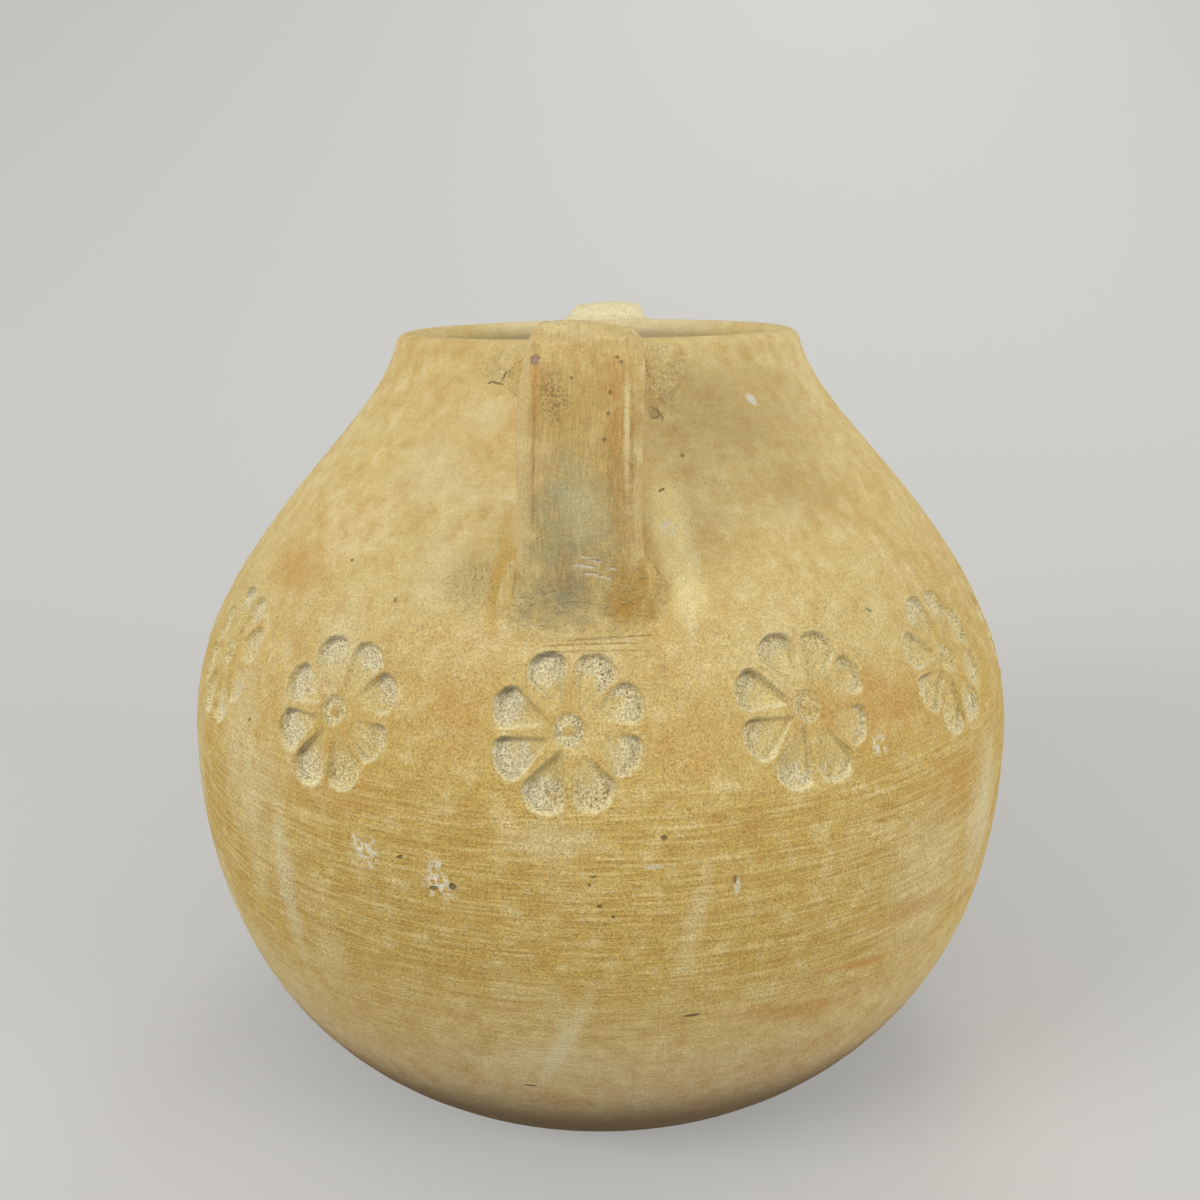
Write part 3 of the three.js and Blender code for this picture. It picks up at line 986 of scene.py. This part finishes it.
# %% Small marks: flakes, scars, pits, and clay torn at the joints and by the wheel
flakes = (
    (-15.1, 96.5, 9, 12, 1, 20), (-23.3, 100, 6, 10), (35.9, 120, 7, 6), (-15, 100.5, 5, 4),
    (-24.8, 101.5, 5, 9, 1, 30), (-13, 172, 3, 2), (200, 110, 6, 7), (13, 166, 5, 7),
)
scars = (
    (39, 190.4, 3.2, 4.6, 1.3, 30), (16.8, 96.5, 1.8, 5.0, 0.9, -6), (7.9, 102.4, 5.0, 1.6, 0.7),
)
pits = (
    (-19.5, 101, 2.0, 0.8, 1, 20), (-13.4, 96.2, 2.2, 1.6, 1, -20), (1.2, 98.8, 0.8, 0.9),
    (3.6, 91.5, 0.9, 0.9), (2.2, 94, 1.2, 0.8), (9, 108.5, 1.6, 1.0), (12.1, 64.8, 4.0, 0.9, 1, 4),
    (-6.7, 41.8, 3.6, 0.7), (-37.2, 156.8, 1.2, 0.9, 0.8), (-26.3, 151, 0.8, 1.4, 0.8, 10),
    (1.6, 100.6, 1.6, 0.5, 0.8), (12.9, 173.4, 2.2, 0.7, 0.8, 30), (18, 180, 1.0, 1.0, 0.7),
    (-45, 120, 1.0, 1.0), (88, 100, 1.6, 1.0), (240, 90, 3.0, 0.9, 1, 8), (16.5, 98, 0.9, 2.0, 0.7),
    (-15.6, 95.2, 2.4, 1.0, 0.8, 10),
)
joint_tears = (
    (-20.3, 197.0, 0.6, 3.6, 0.9, -24), (-18.2, 197.2, 3.0, 4.5, 0.4),
    (14.0, 188.8, 5.0, 3.6, 0.8, -40),
)
tears = (
    (-23.6, 195.5, 2.4, 0.6, 0.9, 24), (-21.8, 195.3, 3.4, 0.5, 1, -10), *joint_tears,
    (4.0, 146.6, 22, 0.5, 0.35, 3), (1.0, 145.4, 28, 0.4, 0.3, 2), (-3, 147.8, 20, 0.4, 0.3, -1),
    (2, 144.2, 26, 0.4, 0.25, 1),
)
print("flakes, scars, pits and tears:", [len(rows) for rows in (flakes, scars, pits, tears)])


def small_marks(clay, ragged, crumbly):
    """Flakes broken up by a fine cloud, scars, one green fleck and pits; then clay slipped and
    smeared beside the handle's root, torn clay, and a stippled spot left of the handle's foot."""
    place = clay.place
    crumbs = step_up(0.45, 0.55, cloud(place, 1.5, 3.0, shift=0.65))
    clay.paint((232, 224, 200), crumbs * wall_patches(place, flakes, 0.9, crumbly))
    clay.paint((212, 202, 178), wall_patches(place, scars, 0.6, crumbly))
    fleck = wall_patch(place, 41.2, 146, 3.6, 1.0, -35, 0.6, crumbly)
    clay.paint((92, 122, 98), fleck * 0.7)
    pitted = wall_patches(place, pits, 0.4, crumbly)
    clay.paint((100, 80, 60), 0.8 * pitted)

    slip = wall_patch(place, -22.5, 199.5, 11, 8, 10, 0.4, ragged)
    smear = wall_patch(place, 18.5, 195.5, 10, 14, -14, 0.35, ragged)
    torn = wall_patches(place, tears, 0.6, 1.6 * crumbly)
    clay.paint((128, 102, 58), 0.6 * torn)
    rough_spot = wall_patch(place, -15.5, 155, 22, 24, 0, 0.8, ragged) + 0.8 * slip
    stippled = rough_spot * dots(place, 0.9, 0.45)
    clay.paint((156, 134, 86), stippled * 0.22)
    relief = clay.relief + 0.5 * slip + 0.45 * smear - 0.14 * stippled
    clay.relief = relief - 0.8 * torn - 0.5 * pitted


# %% Dust, painted highlights and painted shadows in the prints


def dusty_prints(clay):
    """Pale dust where the mesh keeps a high dusting, broken up by a cloud; a pale lower edge of each
    petal and of the raised clay round it, partly dust and partly painted highlight, and a painted
    shadow under its upper edge. Gives how dusty and sooty it is."""
    pressed, faces_up, dusting = (clay.kept(name) for name in ("pressed", "faces_up", "dusting"))
    uneven = cloud(clay.place, 2.6, 3.0, shift=0.6, rough=0.6) - 0.5
    clay.paint((214, 196, 134), step_up(0.15, 0.5, pressed) * 0.5)
    dust = step_up(0.45, 1.15, dusting + 1.7 * uneven)
    bluish = step_up(0.35, 0.6, cloud(clay.place, 30, 1.0, shift=1.2))
    dust_tone = paint((232, 214, 152), (234, 224, 188), bluish)
    clay.paint(dust_tone, dust * 0.85)
    # Painted highlight, partly pale dust, on the lower edges of the petals and on the raised clay
    # round them
    sill_dust_and_highlight = step_up(0.4, 1.3, faces_up) + step_up(0.03, 0.12, 0 - pressed) * 0.25
    clay.paint((246, 234, 184), sill_dust_and_highlight * 0.65)
    shadow = step_up(0.6, 2.0, 0 - faces_up + 0.8 * uneven) * 0.75
    clay.paint((106, 100, 88), shadow)
    return dust, step_up(0.4, 1.1, dusting + 1.8 * uneven)


print("dusting in the mesh: up to", dusting.max().round(2))

# %% The jar's clay


def jar_clay():
    """The common ground, painted shade low on the outer wall, the stains with painted light and
    shade among them, the marks, and pale, speckled prints.
    """
    clay = clay_ground("jar_clay")
    place, height = clay.place, clay.height
    # Painted shade: the outer wall darker towards its foot
    underside_shade = (1 - step_up(0.021, 0.042, height)) * clay.kept("outer_wall")
    clay.paint((112, 90, 66), underside_shade * 0.88)
    ragged = 0.9 * (cloud(place, 5, 4.0, shift=0.35, rough=0.6) - 0.5)
    crumbly = 0.7 * (cloud(place, 1.6, 3.0, shift=0.85) - 0.5)
    # Stains, with painted light and painted shade among them
    for shade, soft, rows in wall_stains_light_and_shade:
        clay.paint(shade, wall_patches(place, rows, soft, ragged))
    # Painted light: the far side above the shoulder, seen as the inside wall through the mouth, made
    # paler
    far_inside_light = step_up(0.02, 0.05, part_of(place, 1)) * step_up(0.17, 0.195, height)
    clay.paint((228, 216, 178), far_inside_light * 0.5)
    small_marks(clay, ragged, crumbly)
    dust, sooty = dusty_prints(clay)
    below_neck = 1 - step_up(0.135, 0.170, height)
    sanded = 0.62 + 0.9 * below_neck * (0.25 + 0.75 * step_up(*foot_ends, height))
    sandy(clay, sanded + 0.6 * dust)
    clay.mark((100, 88, 64), dots(place, 0.48, 0.42) * sooty, 0.6, 0.1)
    return finish_clay(clay, 0.82)


jar_finish = jar_clay()
print("jar clay:", len(jar_finish.node_tree.nodes), "nodes")

# %% [markdown]
# ### Paint that crosses from the strap to the pressed clay
#
# The smoke-grey and ochre stains of a handle don't stop where the strap ends. Both pieces therefore
# read them from the same place in space, with the rear side folded over to the front, so that one
# set of stains serves both handles.

# %% Stains and painted shade of a handle: a colour, how softly it fades, and ovals
stains_and_shade_of_a_handle = (
    # The first row is painted shade over the crest and the middle of the strap
    ((184, 154, 92), 0.8, ((0, 196, 40, 40, 0.8, 0), (0, 176, 44, 70, 0.75, 0))),
    ((182, 138, 78), 0.7, (
        (7.5, 184, 7, 44, 0.5, 0), (-9, 199, 9, 20, 0.5, 0), (8, 200, 10, 16, 0.5, 0),
    )),
    ((174, 166, 122), 0.75, ((-2, 171, 28, 44, 0.95, 0), (-5, 163, 22, 12, 0.4, 0))),
    ((158, 147, 108), 0.75, ((-3.5, 153.5, 30, 18, 0.9, 0), (-2, 158, 26, 5, 0.5, 8))),
    ((180, 142, 70), 0.6, ((12, 155, 18, 22, 0.95, 0), (15.5, 155, 6, 18, 0.7, 0))),
    ((206, 176, 104), 0.6, ((-16.5, 156, 7, 30, 0.8, 0),)),
    ((120, 98, 60), 0.5, ((-14, 157.5, 1, 7, 0.35, -8),)),
)


def handle_stains_shade_and_light(clay):
    """Ovals in space, as (mm right of the middle, mm high, width, height, strength, turn), at a
    place whose second coordinate is made negative on both sides of the jar. Most are stains; the
    first row of the table is painted shade. They reach through the outer face only, and towards the
    crest of the handle at the back, painted light makes them paler."""
    x, y, z = (part_of(clay.place, axis) for axis in range(3))
    front = clay.node("ShaderNodeCombineXYZ", {}, {0: x, 1: 0 - y.reckon("ABSOLUTE", y), 2: z})
    ragged = 1.3 * (cloud(clay.place, 5, 4.0, shift=0.35, rough=0.65) - 0.5)
    facing = ((1, 0, 0), (0, 0, 1), (0, -1, 0))
    for shade, soft, rows in stains_and_shade_of_a_handle:
        for right, up, wide, tall, strength, turn in rows:
            back, deep = (-0.103, 36) if up < 175 else (-0.094, 50)
            middle = (right / 1000, back, up / 1000)
            mask = patch(front, middle, facing, (wide, tall, deep), turn, soft, ragged)
            clay.paint(shade, mask * strength)
    # Painted light on the crest of the rear handle
    rear_crest_light = step_up(0.01, 0.05, y) * step_up(0.199, 0.205, z)
    clay.paint((238, 228, 184), rear_crest_light * 0.85)


print("stains of a handle:", sum(len(rows) for *_, rows in stains_and_shade_of_a_handle))

# %% The straps, wiped lengthwise


def strap_clay():
    """The common ground, the handle's stains with painted shade and light, lines along the strap
    from its own coordinates, its marks, and painted highlights on its raised edges.
    """
    clay = clay_ground("strap_clay")
    place, lay = clay.place, clay.kept("lay", 1)
    ragged = 0.9 * (cloud(place, 5, 3.0, shift=0.35) - 0.5)
    crumbly = 1.4 * (cloud(place, 1.6, 3.0, shift=0.85) - 0.5)
    flat = ((1, 0, 0), (0, 1, 0), (0, 0, 1))
    handle_stains_shade_and_light(clay)

    streaks = cloud(lay, 3.0, 4.0, (1, 0.1, 1), 0.3, 0.65)
    fine = cloud(lay, 0.5, 3.0, (1, 0.16, 1), 0.9, 0.65)
    clay.paint((180, 136, 78), step_up(0.50, 0.70, streaks) * 0.35)
    clay.paint((222, 206, 150), (1 - step_up(0.32, 0.46, streaks)) * 0.3)
    clay.ground = brighten(clay.ground, 0.6 + 0.8 * fine)
    # Painted highlight along the strap's left raised edge
    left_edge_highlight = step_up(0.0098, 0.0116, 0 - part_of(lay, 0) + 0.0008 * crumbly)
    clay.paint((220, 198, 144), left_edge_highlight * 0.45)
    clay.relief = clay.relief + 0.16 * fine + 0.3 * streaks

    def oval(across, at, wide, tall, turn=0.0, soft=0.5, edge=crumbly * 0.6):
        """A patch on the strap's outer face, in mm across the strap and along it."""
        middle = (across / 1000, at / 1000, 0.005)
        return patch(lay, middle, flat, (wide, tall, 12), turn, soft, edge)

    # Pale marks; the long thin ones are painted highlights along the right raised edge
    pale_marks_and_highlights = ((9.4, 50, 1.5, 30, 0.9), (12, 62, 2.5, 40, 0.4), (1, 66, 14, 16, 0.35))
    for across, at, wide, tall, strength in pale_marks_and_highlights:
        clay.paint((214, 198, 146), oval(across, at, wide, tall, 0, 0.7, crumbly * 0.5) * strength)
    for across, at, wide, tall in ((-9.6, 56, 1.0, 40), (10.4, 54, 0.9, 36)):
        clay.mark((150, 112, 62), oval(across, at, wide, tall, 0, 0.8, crumbly), 0.3, 0.25)
    sponged = oval(-5.5, 44, 8, 16, -18, 0.7, ragged) * dots(lay, 0.5, 0.55)
    clay.mark((140, 108, 58), sponged, 0.45, 0.2)
    scratch = oval(3.5, 77, 14, 6, 18, 0.6)
    scratch = scratch * step_up(0.48, 0.60, cloud(lay, 1.0, 3.0, (0.3, 1, 1), 0.44))
    clay.mark((216, 208, 184), scratch, 0.8, 0.2)
    chip = oval(-9.7, 36, 2.4, 2.8, 0, 0.3, crumbly * 1.2)
    clay.mark((146, 124, 112), chip, 0.8, 0.35)
    for across, at, wide, tall, turn in (
        (7.4, 35.5, 1.4, 0.8, 0), (8.2, 36.6, 0.8, 0.8, 0), (-8.4, 80.7, 3.2, 1.0, 20),
        (5, 84, 0.7, 5, 25), (6, 43, 0.9, 1.0, 0), (5.6, 47, 0.8, 0.8, 0), (4.8, 52, 0.8, 0.8, 0),
        (-2, 40, 0.9, 0.9, 0),
    ):
        clay.mark((112, 88, 58), oval(across, at, wide, tall, turn), 0.6, 0.35)
    sandy(clay, 0.75)
    return finish_clay(clay, 0.84 - 0.12 * streaks)


strap_finish = strap_clay()
print("strap clay:", len(strap_finish.node_tree.nodes), "nodes")

# %% The pressed clay at the joints


def luting_clay():
    """The common ground and the handle's stains with painted shade and light, with smeared lumps and
    a crumbly outer edge.
    """
    clay = clay_ground("luting_clay")
    place, plain = clay.place, clay.ground
    share = part_of(clay.kept("place", 1), 2)
    edge = step_up(0.75, 1.0, share)
    handle_stains_shade_and_light(clay)
    clay.paint(plain, edge * 0.6)
    smears = cloud(place, 6, 4.0, (1, 1, 0.5), 0.8, 0.6)
    crumbs = step_up(0.50, 0.62, cloud(place, 0.9, 3.0, shift=0.42))
    crumbs = crumbs * step_up(0.55, 0.95, share + 0.5 * smears - 0.25)
    clay.paint((150, 118, 66), crumbs * 0.12)
    pale_smears = step_up(0.52, 0.66, cloud(place, 3.0, 4.0, (1, 1, 2), 0.66, 0.6))
    clay.paint((206, 186, 134), pale_smears * 0.35)
    crumbly = 1.1 * (cloud(place, 1.6, 3.0, shift=0.85) - 0.5)
    torn = wall_patches(place, joint_tears, 0.8, crumbly)
    clay.paint((128, 102, 58), 0.6 * torn)
    relief = clay.relief + 0.4 * smears + 0.15 * crumbs
    clay.relief = relief + 0.2 * pale_smears - 0.8 * torn
    sandy(clay, 1.1)
    return finish_clay(clay, 0.88 - 0.1 * smears)


luting_finish = luting_clay()
print("luting clay:", len(luting_finish.node_tree.nodes), "nodes")

# %% [markdown]
# ## Put every piece on the jar's frame
#
# Each new skin stands for one node of the imported model. It rides on the same body and takes the
# place of the plain solid in the picture.

# %% Join skins, nodes and finishes
pieces = [
    (body, "jar_body", "jar_clay", jar_finish),
    (front_strap, "front_handle", "handle_clay", strap_finish),
    (rear_strap, "rear_handle", "handle_clay", strap_finish),
]
for ear in ("front", "rear"):
    for end in ("upper", "lower"):
        node_name = f"{ear}_handle_{end}_luting"
        pieces.append((luting[f"{ear}_{end}"], node_name, "luting_clay", luting_finish))
for piece, node_name, slot, finish in pieces:
    piece.data.materials.append(finish)
    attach(piece, "root")
    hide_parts(node_name)
print("pieces:", [piece.name for piece, *_ in pieces])

# %% [markdown]
# ## Floor, light and camera
#
# The jar stands on a pale sweep: a floor that curves up into a backdrop, as in a photographer's
# tent. Two large soft lamps, left and right of the camera, a weak one behind and an even sky give
# the light. A pale floor would light the underside of the belly too much, so the sweep is pale only
# where the camera looks at it, and darker for the light that it throws back.

# %% The sweep
floor_reach, wall_start, bend, wall_top = 2.2, 0.3, 1.3, 2.6
arc = np.linspace(0, np.pi / 2, 49)
sweep_line = np.vstack([
    [(-floor_reach, 0)],
    np.stack([wall_start + bend * np.sin(arc), bend * (1 - np.cos(arc))], 1),
    [(wall_start + bend, wall_top)],
])
across = np.array([-3.0, 3.0])
grid = np.stack(np.broadcast_arrays(across[:, None], *sweep_line.T), -1)
ids = np.arange(grid.shape[0] * grid.shape[1]).reshape(grid.shape[:2])
sweep_faces = np.stack([ids[0, :-1], ids[1, :-1], ids[1, 1:], ids[0, 1:]], -1)
sweep_floor = add("sweep", smooth_mesh("sweep", grid.reshape(-1, 3), sweep_faces.tolist()))

paper = Recipe("pale_sweep")
light_path = paper.node("ShaderNodeLightPath")
seen = light_path.reckon("MAXIMUM", light_path, paper.node("ShaderNodeLightPath", {}, {}, out=3))
tone = paint((132, 129, 124), (176, 175, 172), seen)
lit = paper.node("ShaderNodeBsdfDiffuse", {}, {0: tone})
glow_tone = paint((0, 0, 0), (128, 128, 126), seen)
glow = paper.node("ShaderNodeEmission", {}, {0: glow_tone, 1: 1.0})
both = paper.node("ShaderNodeAddShader", {}, {0: lit, 1: glow})
paper.node("ShaderNodeOutputMaterial", {}, {0: both})
sweep_floor.data.materials.append(paper.material)
print("sweep:", len(sweep_faces), "faces")

# %% Lamps and sky


def soft_lamp(name, place, watts):
    """A round area lamp that looks at the middle of the jar."""
    data = bpy.data.lights.new(name, "AREA")
    data.shape, data.size, data.energy = "DISK", 0.8, watts
    lamp = add(name, data)
    lamp.location = place
    lamp.rotation_euler = (Vector((0, 0, 0.1)) - lamp.location).to_track_quat("-Z", "Y").to_euler()
    print(name, watts, "W at", place)


soft_lamp("left_lamp", (-1.25, -0.95, 0.85), 15.5)
soft_lamp("right_lamp", (1.45, -0.7, 0.42), 13.5)
soft_lamp("back_lamp", (0.3, 1.2, 1.3), 5.0)

sky = bpy.data.worlds.new("sky")
sky.use_nodes = True
background = sky.node_tree.nodes["Background"]
background.inputs["Color"].default_value = (1.0, 0.99, 0.97, 1)
background.inputs["Strength"].default_value = 0.55
bpy.context.scene.world = sky
print("sky:", background.inputs["Strength"].default_value)

# %% [markdown]
# The camera stands where the photograph was taken: quite near, a little above the mouth and looking
# down by about sixteen degrees, so the lip is an ellipse and the foot is out of sight behind the
# belly. Its place and its lens come from fitting the jar's outline to the picture.

# %% Camera
eye_turn, eye_distance, eye_height = 2.45, 0.3318, 0.2218
look_down, level_slip = 15.93, -0.00736
around = math.radians(eye_turn)
camera_data = bpy.data.cameras.new("camera")
camera_data.lens, camera_data.sensor_width = 35.27, 36
camera_data.clip_start = 0.01
camera = add("camera", camera_data)
stand = (eye_distance * math.sin(around), -eye_distance * math.cos(around), eye_height)
camera.matrix_world = (
    Matrix.Translation(stand)
    @ Matrix.Rotation(around, 4, "Z")
    @ Matrix.Rotation(math.radians(90 - look_down), 4, "X")
    @ Matrix.Rotation(level_slip, 4, "Z")
)
bpy.context.scene.camera = camera
bpy.context.scene.view_settings.view_transform = "Standard"
print("camera at", [round(v, 4) for v in camera.location])
